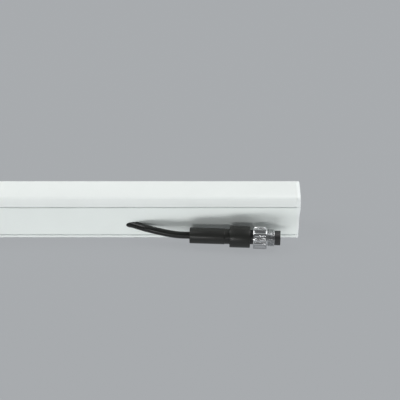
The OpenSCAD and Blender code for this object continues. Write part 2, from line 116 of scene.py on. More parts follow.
def to_object(mesh_data: BMesh, name: str, sharp_deg: float = SHARP_DEG) -> Object:
    """Makes a finished object out of a bmesh, with soft shading between shallow faces.

    Args:
        mesh_data: the bmesh, in the frame's own place. It is freed.
        name: the piece's name.
        sharp_deg: edges steeper than this many degrees stay sharp.

    Returns:
        The object, at the origin and linked to the scene.
    """
    for face in mesh_data.faces:
        face.smooth = True
    mesh = bpy.data.meshes.new(name)
    mesh_data.to_mesh(mesh)
    mesh_data.free()
    mesh.set_sharp_from_angle(angle=math.radians(sharp_deg))
    piece = bpy.data.objects.new(name, mesh)
    bpy.context.scene.collection.objects.link(piece)
    return piece


def round_edges(
    mesh_data: BMesh, edges: Iterable[BMEdge], radius: float, segments: int = 3
) -> None:
    """Rounds the given edges.

    Args:
        mesh_data: the bmesh that holds the edges.
        edges: the edges to round.
        radius: the width of the rounding.
        segments: how many strips it gets.
    """
    chosen = list(edges)
    if chosen:
        bmesh.ops.bevel(
            mesh_data,
            geom=chosen,
            offset=radius,
            offset_type="OFFSET",
            segments=segments,
            profile=0.5,
            affect="EDGES",
            clamp_overlap=True,
            material=-1,
        )


def points_in(geometry: Iterable[object]) -> list[BMVert]:
    """Picks the points out of what an operator gives back."""
    return [part for part in geometry if isinstance(part, BMVert)]


def bar(low: Vector, high: Vector, into: BMesh | None = None) -> BMesh:
    """Makes a rectangular bar between two corners.

    Args:
        low: its lowest corner.
        high: its highest corner.
        into: a bmesh to add it to, or None for a new one.

    Returns:
        The bmesh that holds the bar.
    """
    mesh_data = into if into is not None else bmesh.new()
    size, centre = high - low, (high + low) / 2
    place = Matrix.Translation(centre) @ Matrix.Diagonal((size.x, size.y, size.z, 1.0))
    bmesh.ops.create_cube(mesh_data, size=1.0, matrix=place)
    return mesh_data


def cut_away(piece: Object, cutter: Object) -> None:
    """Cuts one shape out of another and removes the cutter.

    Args:
        piece: the object that is cut.
        cutter: the closed shape that is taken away.
    """
    tool = piece.modifiers.new("cut", "BOOLEAN")
    tool.operation = "DIFFERENCE"
    tool.solver = "EXACT"
    tool.use_self = True
    tool.object = cutter
    cut = piece.evaluated_get(bpy.context.evaluated_depsgraph_get())
    mesh = bpy.data.meshes.new_from_object(cut)
    piece.modifiers.remove(tool)
    old, piece.data = piece.data, mesh
    mesh.name = piece.name
    bpy.data.meshes.remove(old)
    spent = cutter.data
    bpy.data.objects.remove(cutter)
    bpy.data.meshes.remove(spent)
    mesh.set_sharp_from_angle(angle=math.radians(SHARP_DEG))


@dataclass(frozen=True)
class Station:
    """One corner of a turned part's profile.

    Args:
        radius_mm: distance from the axis.
        along_mm: distance along the axis.
        round_mm: rounding of the corner.
    """

    radius_mm: float
    along_mm: float
    round_mm: float = 0.0


def turned(stations: Sequence[Station], steps: int) -> BMesh:
    """Turns a closed profile round the Z axis.

    Args:
        stations: the corners of the profile, in order.
        steps: the number of flats round the axis.

    Returns:
        The closed shape, about the Z axis.
    """
    shape = bmesh.new()
    corners = [shape.verts.new((s.radius_mm * MM, 0, s.along_mm * MM)) for s in stations]
    pairs = zip(corners, corners[1:] + corners[:1])
    sides = [shape.edges.new(p) for p in pairs if p[0].co.x + p[1].co.x > 0]
    bmesh.ops.spin(
        shape,
        geom=corners + sides,
        cent=(0, 0, 0),
        axis=(0, 0, 1),
        angle=math.tau,
        steps=steps,
        use_merge=True,
    )
    bmesh.ops.remove_doubles(shape, verts=shape.verts, dist=1e-7)
    bmesh.ops.dissolve_degenerate(shape, edges=shape.edges, dist=1e-8)
    bmesh.ops.recalc_face_normals(shape, faces=shape.faces)
    for station in stations:
        if station.round_mm:
            ring = [
                e for e in shape.edges
                if all(
                    abs(v.co.z - station.along_mm * MM) < NEAR
                    and abs(v.co.xy.length - station.radius_mm * MM) < NEAR
                    for v in e.verts
                )
            ]  # fmt: skip
            round_edges(shape, ring, station.round_mm * MM)
    return shape


# ---------------------------------------------------------------- finishes

# The slow wander of a finish: its size, the part that the grain adds, and the ends of its noise.
WANDER_MM = 24.0
GRAIN_SHARE = 0.35
WANDER_LOW, WANDER_HIGH = 0.3, 0.95


class Grain(Enum):
    """What the surface of a material is like close up."""

    ORANGE_PEEL = "soft dimples of a baked powder coat"
    ERODED = "fine pits of a spark-eroded mould"
    DRAWN = "faint lines along the length of an extrusion"
    TURNED = "fine rings round the plug's axis"
    CAST = "slow waves of a cast or injected gloss surface"
    SPECKLED = "specks of filler under the surface"
    WOVEN = "crossed glass threads under a lacquer"


@dataclass(frozen=True)
class Finish:
    """One real material, as the eye meets it.

    Args:
        name: the material's real name.
        colour: sRGB hex colour.
        roughness: how wide its highlights are.
        grain: its surface close up.
        grain_mm: distance between the dimples, pits or lines.
        depth_mm: height of the grain.
        metallic: 1 for a bare metal.
        ior: refractive index of a plastic or rubber; metals keep the default.
        mottle: how much its lightness wanders.
        wander: how much its roughness wanders.
        coat: weight of a clear layer.
        coat_roughness: roughness of that layer.
        under: weight of the light that goes under the surface.
        under_mm: how far that light travels.
        sheen: weight of the soft edge glow of rubber.
    """

    name: str
    colour: str
    roughness: float
    grain: Grain
    grain_mm: float
    depth_mm: float
    metallic: float = 0.0
    ior: float = 1.5
    mottle: float = 0.03
    wander: float = 0.06
    coat: float = 0.0
    coat_roughness: float = 0.1
    under: float = 0.0
    under_mm: float = 1.0
    sheen: float = 0.0

    def material(self, turned_place: Matrix) -> Material:
        """Builds the material.

        Args:
            turned_place: the place of the plug's axis, for finishes that run round it.

        Returns:
            The node material.
        """
        made = bpy.data.materials.new(self.name)
        made.use_nodes = True
        tree = made.node_tree
        shader = tree.nodes["Principled BSDF"]
        self._set_shader(shader)
        where = self._coordinates(tree, turned_place)
        height = self._height(tree, where)
        bump = add_node(
            tree,
            "ShaderNodeBump",
            {"Strength": 1.0, "Distance": self.depth_mm * MM},
            {"Height": height},
        )
        tree.links.new(bump.outputs["Normal"], shader.inputs["Normal"])
        self._vary(tree, shader, height)
        return made

    def _set_shader(self, shader: Node) -> None:
        """Sets what is the same all over the surface on the shader's own sockets."""
        values = {
            "Metallic": self.metallic,
            "Coat Weight": self.coat,
            "Coat Roughness": self.coat_roughness,
            "Subsurface Weight": self.under,
            "Sheen Weight": self.sheen,
        }
        if self.metallic < 1:
            values["IOR"] = self.ior
        if self.under:
            shader.inputs["Subsurface Radius"].default_value = (1.0, 1.0, 1.0)
            values["Subsurface Scale"] = self.under_mm * MM
        for socket, value in values.items():
            shader.inputs[socket].default_value = value

    def _coordinates(self, tree: NodeTree, turned_place: Matrix) -> NodeSocket:
        """Gives the object's coordinates, turned and stretched to suit the grain."""
        place = add_node(tree, "ShaderNodeTexCoord").outputs["Object"]
        if self.grain is Grain.TURNED:
            back = turned_place.inverted()
            settled = add_node(
                tree,
                "ShaderNodeMapping",
                {"Location": back.translation, "Rotation": back.to_euler()},
                {"Vector": place},
            )
            place = settled.outputs["Vector"]
        stretch = {
            # Lines fifty times as long as they are wide, along the batten.
            Grain.DRAWN: (0.02, 1.0, 1.0),
            # Rings that change along the axis and hardly at all across it.
            Grain.TURNED: (0.06, 0.06, 1.0),
        }.get(self.grain, (1.0, 1.0, 1.0))
        scaled = add_node(tree, "ShaderNodeMapping", {"Scale": stretch}, {"Vector": place})
        return scaled.outputs["Vector"]

    def _height(self, tree: NodeTree, where: NodeSocket) -> NodeSocket:
        """Draws the grain as a height between 0 and 1."""
        scale = 1.0 / (self.grain_mm * MM)
        if self.grain in (Grain.ERODED, Grain.SPECKLED):
            pits = add_node(
                tree,
                "ShaderNodeTexVoronoi",
                {"feature": "SMOOTH_F1", "Scale": scale, "Smoothness": 0.6},
                {"Vector": where},
            )
            return pits.outputs["Distance"]
        if self.grain is Grain.WOVEN:
            threads = [
                add_node(
                    tree,
                    "ShaderNodeTexWave",
                    {"bands_direction": way, "Scale": scale / math.pi, "Distortion": 0.4},
                    {"Vector": where},
                ).outputs["Fac"]
                for way in ("X", "Y")
            ]
            crossed = add_node(
                tree, "ShaderNodeMath", {"operation": "MULTIPLY"}, {0: threads[0], 1: threads[1]}
            )
            return crossed.outputs["Value"]
        detail = {Grain.ORANGE_PEEL: 1.0, Grain.CAST: 0.5}.get(self.grain, 3.0)
        noise = add_node(
            tree,
            "ShaderNodeTexNoise",
            {"Scale": scale, "Detail": detail, "Roughness": 0.45},
            {"Vector": where},
        )
        return noise.outputs["Fac"]

    def _vary(self, tree: NodeTree, shader: Node, height: NodeSocket) -> None:
        """Lets colour and roughness wander slowly over the surface and with the grain."""
        place = add_node(tree, "ShaderNodeTexCoord").outputs["Object"]
        slow = add_node(
            tree,
            "ShaderNodeTexNoise",
            {"Scale": 1.0 / (WANDER_MM * MM), "Detail": 4.0, "Roughness": 0.6},
            {"Vector": place},
        ).outputs["Fac"]
        both = add_node(
            tree,
            "ShaderNodeMath",
            {"operation": "MULTIPLY_ADD", 1: GRAIN_SHARE},
            {0: height, 2: slow},
        )
        plain = linear(self.colour)
        dark = tuple(c * (1 - self.mottle) for c in plain[:3]) + (1.0,)
        bright = tuple(min(1.0, c * (1 + self.mottle * 0.5)) for c in plain[:3]) + (1.0,)
        tint = add_node(tree, "ShaderNodeValToRGB", links={"Fac": both.outputs["Value"]})
        ramp = tint.color_ramp.elements
        ramp[0].position, ramp[0].color = WANDER_LOW, dark
        ramp[1].position, ramp[1].color = WANDER_HIGH, bright
        tree.links.new(tint.outputs["Color"], shader.inputs["Base Color"])
        rough = add_node(
            tree,
            "ShaderNodeMapRange",
            {
                "From Min": WANDER_LOW,
                "From Max": WANDER_HIGH,
                "To Min": max(0.02, self.roughness - self.wander / 2),
                "To Max": min(1.0, self.roughness + self.wander / 2),
            },
            {"Value": both.outputs["Value"]},
        )
        tree.links.new(rough.outputs["Result"], shader.inputs["Roughness"])


# The finishes, one per material slot of the frame's record.
FINISHES: dict[str, Finish] = {
    # Baked powder on the extrusion: an even, faintly green white with a soft satin highlight.
    "white_powder_coat": Finish(
        "powder_coated_aluminium", "E3E9E6", 0.48, Grain.ORANGE_PEEL, 0.9, 0.012, ior=1.5
    ),
    # Milky acrylic that glows a little into its own edges under a smooth skin.
    "opal_pmma": Finish(
        "opal_pmma", "DDE1DF", 0.4, Grain.CAST, 9.0, 0.02, ior=1.49, mottle=0.012,
        under=0.6, under_mm=1.2,
    ),
    # Injection-moulded polycarbonate with a fine eroded texture, a shade cooler than the coat.
    "white_moulded_pc": Finish(
        "moulded_polycarbonate", "E6EAE9", 0.42, Grain.ERODED, 0.5, 0.01, ior=1.58
    ),
    # Grey silicone cord: dead matt, a dark line between the white parts.
    "grey_silicone": Finish(
        "grey_silicone", "C4C9C8", 0.78, Grain.DRAWN, 0.4, 0.01, ior=1.41, sheen=0.1
    ),
    # White silicone sheet, soft and dry, all but lost between the white parts.
    "white_silicone": Finish(
        "white_silicone", "E6EAE8", 0.6, Grain.CAST, 0.8, 0.006, ior=1.41, under=0.1, under_mm=0.6
    ),
    # Stainless fasteners: a greyish metal with a broad highlight.
    "stainless": Finish(
        "stainless_steel", "D2D1CD", 0.26, Grain.CAST, 0.8, 0.004, metallic=1.0
    ),
    # Dark glass-filled nylon of the pressure vent.
    "vent_pa66": Finish("vent_pa66", "2E2F31", 0.55, Grain.SPECKLED, 0.35, 0.01, ior=1.53),
    # White solder mask over the LED boards, slightly glossy.
    "white_solder_mask": Finish(
        "white_solder_mask", "E9EAE6", 0.35, Grain.WOVEN, 0.6, 0.006, ior=1.55
    ),
    # Creamy moulded body of an LED package.
    "led_ceramic": Finish("led_package_resin", "EFECE0", 0.45, Grain.ERODED, 0.3, 0.006),
    # Yellow phosphor in clear silicone.
    "led_phosphor": Finish(
        "led_phosphor_silicone", "E6C24A", 0.25, Grain.SPECKLED, 0.15, 0.004, ior=1.41,
        under=0.2, under_mm=0.4,
    ),
    # Soft grey-blue heat pad.
    "thermal_pad": Finish("silicone_heat_pad", "A3AEB8", 0.8, Grain.CAST, 1.5, 0.02, ior=1.41),
    # Ivory nylon of the small board connector.
    "connector_ivory": Finish("ivory_pa66", "E0D8C0", 0.4, Grain.ERODED, 0.3, 0.006, ior=1.53),
    # Green lacquer over woven glass.
    "green_fr4": Finish("green_fr4", "1E6B3A", 0.35, Grain.WOVEN, 0.6, 0.008, ior=1.55),
    # Sintered ferrite: charcoal and dry.
    "ferrite": Finish("sintered_ferrite", "34343A", 0.7, Grain.SPECKLED, 0.2, 0.01),
    # Shrunk sleeve of an electrolytic capacitor.
    "capacitor_sleeve": Finish("pet_sleeve", "1B2350", 0.25, Grain.CAST, 2.0, 0.006, ior=1.57),
    # Epoxy moulding compound of a chip.
    "chip_epoxy": Finish("chip_epoxy", "1E1E1F", 0.6, Grain.ERODED, 0.15, 0.005),
    # Green nylon of screw terminals.
    "terminal_pa": Finish("green_pa66", "2C8A45", 0.4, Grain.ERODED, 0.3, 0.006, ior=1.53),
    # Coloured PVC over the cores; shown as brown, the first core's colour.
    "core_insulation": Finish("pvc_insulation", "6B4226", 0.4, Grain.CAST, 1.0, 0.004, ior=1.53),
    # Black glass-filled nylon of the outlet block and its clamp.
    "outlet_pa66": Finish("black_pa66_gf", "232324", 0.55, Grain.SPECKLED, 0.3, 0.01, ior=1.53),
    # Black silicone lip round the cable.
    "black_silicone": Finish("black_silicone", "161717", 0.6, Grain.CAST, 0.8, 0.006, ior=1.41),
    # Polyurethane cable jacket: matt black with a soft long highlight.
    "black_pur": Finish("pur_cable_jacket", "141514", 0.28, Grain.CAST, 1.2, 0.01, ior=1.42),
    # Moulded polyurethane of the plug: a slightly brown black with a velvety highlight.
    "black_tpu": Finish(
        "moulded_tpu", "1B1C1A", 0.34, Grain.ERODED, 0.35, 0.01, ior=1.4, mottle=0.08
    ),
    # Black nylon of the contact carrier, drier and deeper than the grip.
    "black_pa66": Finish("black_pa66", "151617", 0.45, Grain.SPECKLED, 0.3, 0.008, ior=1.53),
    # Gold flash on the contact pins.
    "gold_plate": Finish(
        "gold_plated_brass", "E2B866", 0.16, Grain.TURNED, 0.2, 0.002, metallic=1.0
    ),
    # Nickel on turned brass: grey mirror with fine turning rings.
    "nickel_brass": Finish(
        "nickel_plated_brass", "C4C5C6", 0.2, Grain.TURNED, 0.25, 0.003, metallic=1.0,
        mottle=0.06, wander=0.1,
    ),
}


class Wardrobe:
    """Holds one built material per slot and dresses pieces with them."""

    def __init__(self, turned_place: Matrix) -> None:
        """Builds every finish once.

        Args:
            turned_place: the place of the plug's axis.
        """
        self.made = {slot: f.material(turned_place) for slot, f in FINISHES.items()}

    def fit(self, piece: Object, body: str, slot: str, node: str) -> None:
        """Gives a new piece its finish, as its only material, and fits it to the frame.

        Args:
            piece: the new piece.
            body: the body it moves with.
            slot: the record's material slot of its finish.
            node: the frame node that it stands for.
        """
        piece.data.materials.clear()
        piece.data.materials.append(self.made[slot])
        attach(piece, body)
        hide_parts(node)
        LOG.info("%s: %d faces, rides on %s", piece.name, len(piece.data.polygons), body)

    def dress_frame(self) -> None:
        """Gives every frame node the finish of the slot that the record names for it."""
        for row in frame["record"]["subparts"]:
            node = frame["nodes"][row["node"]]
            for seat in node.material_slots:
                seat.material = self.made[row["material_slot"]]


# ---------------------------------------------------------------- camera and cable


@dataclass
class Viewpoint:
    """The camera: square on to the batten's length, from above the cable side."""

    target: Vector = field(default_factory=lambda: Vector((0.18248, -0.010, 0.03217)))
    distance: float = 0.8501
    elevation_deg: float = 37.18
    lens_mm: float = 114.6
    sensor_mm: float = 36.0

    def build(self) -> None:
        """Makes the camera and hands it to the scene."""
        lens = bpy.data.cameras.new("camera")
        lens.lens = self.lens_mm
        lens.sensor_width = self.sensor_mm
        lens.clip_start, lens.clip_end = 0.02, 60.0
        eye = bpy.data.objects.new("camera", lens)
        tilt = math.radians(self.elevation_deg)
        back = Vector((0.0, -math.cos(tilt), math.sin(tilt)))
        eye.location = self.target + self.distance * back
        eye.rotation_euler = (-back).to_track_quat("-Z", "Y").to_euler()
        bpy.context.scene.collection.objects.link(eye)
        bpy.context.scene.camera = eye
        LOG.info("camera at %s", tuple(round(c, 4) for c in eye.location))


@dataclass
class FreeCable:
    """The stretch of cable between the housing and the plug.

    Its route starts inside the wall, leaves the wall at an angle and settles beside the batten.
    """

    diameter_mm: float = 4.8
    outlet: Vector = field(default_factory=lambda: Vector((0.1384, -0.010, 0.0109)))
    route_mm: Sequence[tuple[float, float, float]] = (
        (-7.2, 3.5, 0), (-3.6, 1.75, 0), (0, 0, 0), (3.2, -1.55, 0),
        (6.4, -3.05, 0), (9.6, -4.2, -0.15), (12.8, -5.1, -0.45), (16, -5.8, -0.85),
        (19.2, -6.35, -1.3), (22.4, -6.75, -1.8), (25.6, -7.05, -2.25), (28.8, -7.25, -2.6),
        (32, -7.35, -2.8), (34.6, -7.42, -2.87), (37.2, -7.5, -2.9), (40.2, -7.65, -2.9),
    )  # fmt: skip

    def build(self, wardrobe: Wardrobe) -> Object:
        """Lays the cable along its route and dresses it.

        Args:
            wardrobe: the built finishes.

        Returns:
            The cable, a round tube with closed ends.
        """
        curve = bpy.data.curves.new("cable_route", "CURVE")
        curve.dimensions = "3D"
        curve.resolution_u = 6
        curve.bevel_depth = self.diameter_mm / 2 * MM
        curve.bevel_resolution = 8
        curve.use_fill_caps = True
        line = curve.splines.new("BEZIER")
        line.bezier_points.add(len(self.route_mm) - 1)
        for knot, point in zip(line.bezier_points, self.points()):
            knot.co = point
            knot.handle_left_type = knot.handle_right_type = "AUTO"
        route = bpy.data.objects.new("cable_route", curve)
        bpy.context.scene.collection.objects.link(route)
        swept = route.evaluated_get(bpy.context.evaluated_depsgraph_get())
        tube = bmesh.new()
        tube.from_mesh(swept.to_mesh())
        swept.to_mesh_clear()
        bpy.data.objects.remove(route)
        bpy.data.curves.remove(curve)
        bmesh.ops.remove_doubles(tube, verts=tube.verts, dist=1e-7)
        bmesh.ops.recalc_face_normals(tube, faces=tube.faces)
        piece = to_object(tube, "free_cable")
        wardrobe.fit(piece, BATTEN, "black_pur", "cable_free")
        return piece

    def points(self) -> list[Vector]:
        """Gives the points of the route in the frame."""
        return [self.outlet + Vector(offset) * MM for offset in self.route_mm]

    def length(self) -> float:
        """Gives the length along the route."""
        knots = self.points()
        return sum((b - a).length for a, b in zip(knots, knots[1:]))

    def declare(self) -> None:
        """Says what the cable is.
        """
        LOG.info("free cable: %.1f mm", self.length() / MM)


# ---------------------------------------------------------------- the batten's shells


@dataclass
class CrownedShape:
    """The batten's outline across its length, with upright sides and a crowned top."""

    half_width_mm: float = 10.0
    height_mm: float = 35.0
    crown_mm: float = 40.0
    corner_mm: float = 2.5
    corner_steps: int = 10
    crown_steps: int = 24

    def draw(self, mesh_data: BMesh, x: float, foot_mm: float) -> tuple[BMVert, BMVert]:
        """Draws the outline as an open line of edges, from one foot over the top to the other.

        Args:
            mesh_data: the bmesh that gets the line.
            x: its place along the batten.
            foot_mm: the height at which both sides start.

        Returns:
            The two feet.
        """
        corner_y = self.half_width_mm - self.corner_mm
        crown_z = self.height_mm - self.crown_mm
        corner_z = crown_z + math.sqrt((self.crown_mm - self.corner_mm) ** 2 - corner_y**2)
        lean = math.atan2(corner_z - crown_z, corner_y)
        foot = mesh_data.verts.new((x, -self.half_width_mm * MM, foot_mm * MM))
        tip = self._rise(mesh_data, foot, (corner_z - foot_mm) * MM)
        turns = (
            (-corner_y, corner_z, lean, self.corner_steps),
            (0.0, crown_z, math.pi - 2 * lean, self.crown_steps),
            (corner_y, corner_z, lean, self.corner_steps),
        )
        for y, z, angle, steps in turns:
            bent = bmesh.ops.spin(
                mesh_data,
                geom=[tip],
                cent=(x, y * MM, z * MM),
                axis=(1, 0, 0),
                angle=-angle,
                steps=steps,
            )
            tip = points_in(bent["geom_last"])[0]
        return foot, self._rise(mesh_data, tip, (foot_mm - corner_z) * MM)

    @staticmethod
    def _rise(mesh_data: BMesh, start: BMVert, height: float) -> BMVert:
        """Draws an upright edge from a point and gives its other end."""
        drawn = bmesh.ops.extrude_vert_indiv(mesh_data, verts=[start])
        tip = drawn["verts"][0]
        bmesh.ops.translate(mesh_data, verts=[tip], vec=(0, 0, height))
        return tip


@dataclass
class Diffuser:
    """The opal cap and the two silicone cords that it presses on."""

    shape: CrownedShape
    wall_mm: float = 1.8
    rim_mm: float = 0.22
    leg_out_mm: float = 7.5
    leg_mm: float = 1.3
    leg_top_mm: float = 0.5
    leg_gap_mm: float = 0.2
    foot_mm: float = 1.6
    foot_gap_mm: float = 0.02
    barb_mm: float = 0.6
    barb_root_mm: float = 0.1
    barb_low_mm: float = 0.7
    barb_high_mm: float = 1.4
    cord_mm: float = 1.0
    cord_roundness: float = 0.45

    def __post_init__(self) -> None:
        """Takes the cap's box, and the height of the seam under it, from the frame."""
        self.low, self.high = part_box("diffuser")
        self.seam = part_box("diffuser_gaskets")[1].z

    def build(self, wardrobe: Wardrobe) -> list[Object]:
        """Makes the cap and the cords and dresses them.

        Args:
            wardrobe: the built finishes.

        Returns:
            The cap and the cords.
        """
        cap, cords = self._cap(), self._cords()
        wardrobe.fit(cap, BATTEN, "opal_pmma", "diffuser")
        wardrobe.fit(cords, BATTEN, "grey_silicone", "diffuser_gaskets")
        return [cap, cords]

    def _cap(self) -> Object:
        """Draws the crown, pulls it along the batten, and gives it its wall and its legs."""
        sheet = bmesh.new()
        self.shape.draw(sheet, self.low.x, self.seam / MM)
        pulled = bmesh.ops.extrude_edge_only(sheet, edges=sheet.edges[:])
        reach = self.high.x - self.low.x
        bmesh.ops.translate(sheet, verts=points_in(pulled["geom"]), vec=(reach, 0, 0))
        bmesh.ops.recalc_face_normals(sheet, faces=sheet.faces)
        if max(sheet.faces, key=lambda f: f.calc_center_median().z).normal.z < 0:
            bmesh.ops.reverse_faces(sheet, faces=sheet.faces)
        bmesh.ops.solidify(sheet, geom=sheet.faces[:], thickness=self.wall_mm * MM)
        self._soften(sheet)
        self._legs(sheet)
        return to_object(sheet, "opal_diffuser")

    def _soften(self, sheet: BMesh) -> None:
        """Rounds the outer rims of the cap, where a real moulding has no knife edge."""
        near = 0.01 * MM
        rims = []
        for edge in sheet.edges:
            a, b = (v.co for v in edge.verts)
            if not (self._is_outer(a) and self._is_outer(b)):
                continue
            foot = all(abs(point.z - self.seam) < near for point in (a, b))
            end = any(
                abs(a.x - x) < near and abs(b.x - x) < near for x in (self.low.x, self.high.x)
            )
            if foot or end:
                rims.append(edge)
        round_edges(sheet, rims, self.rim_mm * MM, 2)

    def _is_outer(self, point: Vector) -> bool:
        """Tells whether a point lies on the outer skin."""
        shape = self.shape
        y, z = abs(point.y) / MM, point.z / MM
        crown = math.hypot(y, z - (shape.height_mm - shape.crown_mm))
        return abs(y - shape.half_width_mm) < 0.02 or crown > shape.crown_mm - self.wall_mm / 2

    def _legs(self, sheet: BMesh) -> None:
        """Adds the feet and the barbed legs that snap into the housing."""
        low, high, seam = self.low, self.high, self.seam
        out, thick, gap = self.leg_out_mm * MM, self.leg_mm * MM, self.leg_gap_mm * MM
        inner_wall = (self.shape.half_width_mm - self.wall_mm / 2) * MM
        foot = (
            out - thick, inner_wall, seam + self.foot_gap_mm * MM, seam + self.foot_mm * MM
        )  # fmt: skip
        leg = (out - thick, out, low.z, seam + self.leg_top_mm * MM)
        barb = (
            out - self.barb_root_mm * MM, out + self.barb_mm * MM,
            low.z + self.barb_low_mm * MM, low.z + self.barb_high_mm * MM,
        )  # fmt: skip
        for side in (-1, 1):
            for inner, outer, bottom, top in (foot, leg, barb):
                ends = sorted((side * inner, side * outer))
                bar(
                    Vector((low.x + gap, ends[0], bottom)),
                    Vector((high.x - gap, ends[1], top)),
                    sheet,
                )

    def _cords(self) -> Object:
        """Makes the two gasket cords, with a round outer side."""
        low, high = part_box("diffuser_gaskets")
        inner = (self.leg_out_mm + self.cord_mm) * MM
        both = bmesh.new()
        for side in (-1, 1):
            ends = sorted((side * inner, side * high.y))
            bar(Vector((low.x, ends[0], low.z)), Vector((high.x, ends[1], high.z)), both)
        outer = [
            e for e in both.edges
            if abs(e.verts[0].co.x - e.verts[1].co.x) > (high.x - low.x) / 2
            and abs(abs(e.verts[0].co.y) - high.y) < NEAR
        ]  # fmt: skip
        round_edges(both, outer, (high.z - low.z) * self.cord_roundness, 4)
        return to_object(both, "diffuser_gasket_cords")


@dataclass
class EndCap:
    """A moulded end cap: a hood over the diffuser's end and a stepped-back lower part."""

    shape: CrownedShape
    side: int
    step_mm: float = 0.5
    step_low_mm: float = 19.0
    step_high_mm: float = 23.0
    lean_mm: float = 0.25
    rim_mm: float = 0.45
    groove_mm: float = 0.45
    screw_head_mm: float = 2.2
    screw_seat_mm: float = 1.1
    screw_hole_mm: float = 1.3
    screw_reach_mm: float = 5.0
    vent_hole_mm: float = 2.65
    vent_reach_mm: float = 3.0
    spare_mm: float = 1.0

    def __post_init__(self) -> None:
        """Takes the cap's box from the frame, and the places of its two faces along X."""
        self.hand = "right" if self.side > 0 else "left"
        self.low, self.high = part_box(f"end_cap_{self.hand}")
        faces = (self.low.x, self.high.x)[:: self.side]
        self.inner, self.outer = faces
        self.seat = self.outer - self.side * self.step_mm * MM

    def build(self, wardrobe: Wardrobe) -> Object:
        """Makes the cap and dresses it.

        Args:
            wardrobe: the built finishes.

        Returns:
            The cap.
        """
        solid = bmesh.new()
        feet = self.shape.draw(solid, self.inner, self.low.z / MM)
        solid.edges.new(feet)
        bmesh.ops.contextual_create(solid, geom=solid.edges[:])
        grown = bmesh.ops.extrude_face_region(solid, geom=solid.faces[:])
        reach = self.outer - self.inner
        bmesh.ops.translate(solid, verts=points_in(grown["geom"]), vec=(reach, 0, 0))
        bmesh.ops.recalc_face_normals(solid, faces=solid.faces)
        self._shape_face(solid)
        cap = to_object(solid, f"end_cap_{self.hand}_moulding")
        cut_away(cap, self._cutters())
        wardrobe.fit(cap, BATTEN, "white_moulded_pc", f"end_cap_{self.hand}")
        return cap

    def _shape_face(self, solid: BMesh) -> None:
        """Steps the lower part of the outer face back, leans the hood and rounds the rim."""
        low, high = self.step_low_mm * MM, self.step_high_mm * MM
        for height in (low, high):
            bmesh.ops.bisect_plane(
                solid,
                geom=solid.verts[:] + solid.edges[:] + solid.faces[:],
                dist=1e-7,
                plane_co=(0, 0, height),
                plane_no=(0, 0, 1),
            )
        face_points = {v for v in solid.verts if abs(v.co.x - self.outer) < NEAR}
        for point in face_points:
            if point.co.z < low + NEAR:
                point.co.x -= self.side * self.step_mm * MM
            elif point.co.z > high:
                rise = (point.co.z - high) / (self.high.z - high)
                point.co.x -= self.side * self.lean_mm * MM * rise
        solid.normal_update()
        rim = [
            e for e in solid.edges
            if set(e.verts) <= face_points and any(abs(f.normal.x) < 0.2 for f in e.link_faces)
        ]  # fmt: skip
        round_edges(solid, rim, self.rim_mm * MM, 3)

    def _cutters(self) -> Object:
        """Makes one cutter for the countersinks, the vent's hole and the two shadow lines."""
        cutter = bmesh.new()
        head, hole, vent = self.screw_head_mm, self.screw_hole_mm, self.vent_hole_mm
        for middle in self._screw_places():
            for radii, span in (
                ((hole, head), (-self.screw_seat_mm, 0.0)),
                ((head, head), (0.0, self.spare_mm)),
                ((hole, hole), (-self.screw_reach_mm, -self.spare_mm)),
            ):
                self._bore(cutter, middle, radii, span)
        if self.side < 0:
            low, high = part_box("vent_plug")
            reach = self.vent_reach_mm
            self._bore(cutter, (low + high) / 2, (vent, vent), (-reach, reach))
        for gasket in ("diffuser_gaskets", "base_gasket"):
            self._groove(cutter, gasket)
        return to_object(cutter, "end_cap_cutter")

    def _screw_places(self) -> list[Vector]:
        """Finds a point on the axis of each end screw, from the frame's loose screw shapes."""
        loose = bmesh.new()
        loose.from_mesh(frame["nodes"][f"end_screws_{self.hand}"].data)
        bmesh.ops.remove_doubles(loose, verts=loose.verts, dist=1e-6)
        places, left = [], set(loose.verts)
        while left:
            grown, edge = set(), [left.pop()]
            while edge:
                point = edge.pop()
                grown.add(point)
                near = {e.other_vert(point) for e in point.link_edges} & left
                left -= near
                edge.extend(near)
            spans = [sorted(v.co[i] for v in grown) for i in (1, 2)]
            y, z = ((span[0] + span[-1]) / 2 for span in spans)
            places.append(Vector((0, y, z)))
        loose.free()
        return places

    def _bore(
        self,
        cutter: BMesh,
        middle: Vector,
        radii_mm: tuple[float, float],
        span_mm: tuple[float, float],
    ) -> None:
        """Adds one round cutter along X.

        Args:
            cutter: the bmesh that gets it.
            middle: a point on its axis.
            radii_mm: its radius at the inner and at the outer end.
            span_mm: both ends, measured outwards from the stepped-back face.
        """
        x = self.seat + self.side * sum(span_mm) / 2 * MM
        facing = Matrix.Rotation(math.radians(90.0 * self.side), 4, "Y")
        bmesh.ops.create_cone(
            cutter,
            cap_ends=True,
            segments=48,
            radius1=radii_mm[0] * MM,
            radius2=radii_mm[1] * MM,
            depth=(span_mm[1] - span_mm[0]) * MM,
            matrix=Matrix.Translation((x, middle.y, middle.z)) @ facing,
        )

    def _groove(self, cutter: BMesh, gasket: str) -> None:
        """Adds the three bars that carry a gasket's line round the cap.

        Args:
            cutter: the bmesh that gets them.
            gasket: the frame node of the gasket.
        """
        low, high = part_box(gasket)
        half, deep = self.shape.half_width_mm * MM, self.groove_mm * MM
        spare = self.spare_mm * MM
        past = self.outer + self.side * spare
        near, far = sorted((self.inner - self.side * spare, past))
        for wall in (-1, 1):
            ends = sorted((wall * (half - deep), wall * (half + spare)))
            bar(Vector((near, ends[0], low.z)), Vector((far, ends[1], high.z)), cutter)
        face = self.seat if low.z < self.step_low_mm * MM else self.outer
        ends = sorted((face - self.side * deep, past))
        bar(
            Vector((ends[0], -half - spare, low.z)),
            Vector((ends[1], half + spare, high.z)),
            cutter,
        )


